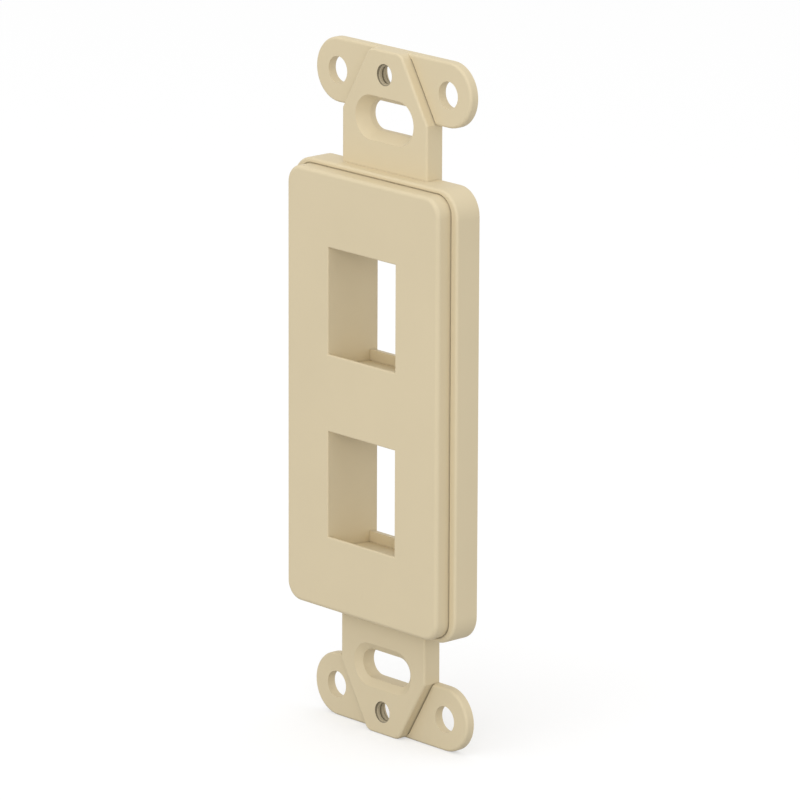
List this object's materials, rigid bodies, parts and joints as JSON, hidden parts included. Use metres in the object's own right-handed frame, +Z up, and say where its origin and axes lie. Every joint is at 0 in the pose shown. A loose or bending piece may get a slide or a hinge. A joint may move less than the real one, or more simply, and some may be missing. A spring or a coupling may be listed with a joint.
{
  "type": "keystone faceplate",
  "caption": "Faceplate insert for a decorator style wall plate: a raised front panel with keystone jack ports, held by a strap with slotted and threaded screw holes and thin ears.",
  "frame": {"origin": "middle of the mounting plane, which is the back of the strap, halfway between the box screw slots", "axes": "+X to the right seen from the front, +Y to the back into the wall box, +Z up along the strap"},
  "size_m": [0.036, 0.0098, 0.104],
  "materials": {
    "ivory_plastic": "light ivory, fine satin moulding"
  },
  "bodies": {
    "root": {"keystone_faceplate": "ivory_plastic"}
  },
  "joints": []
}
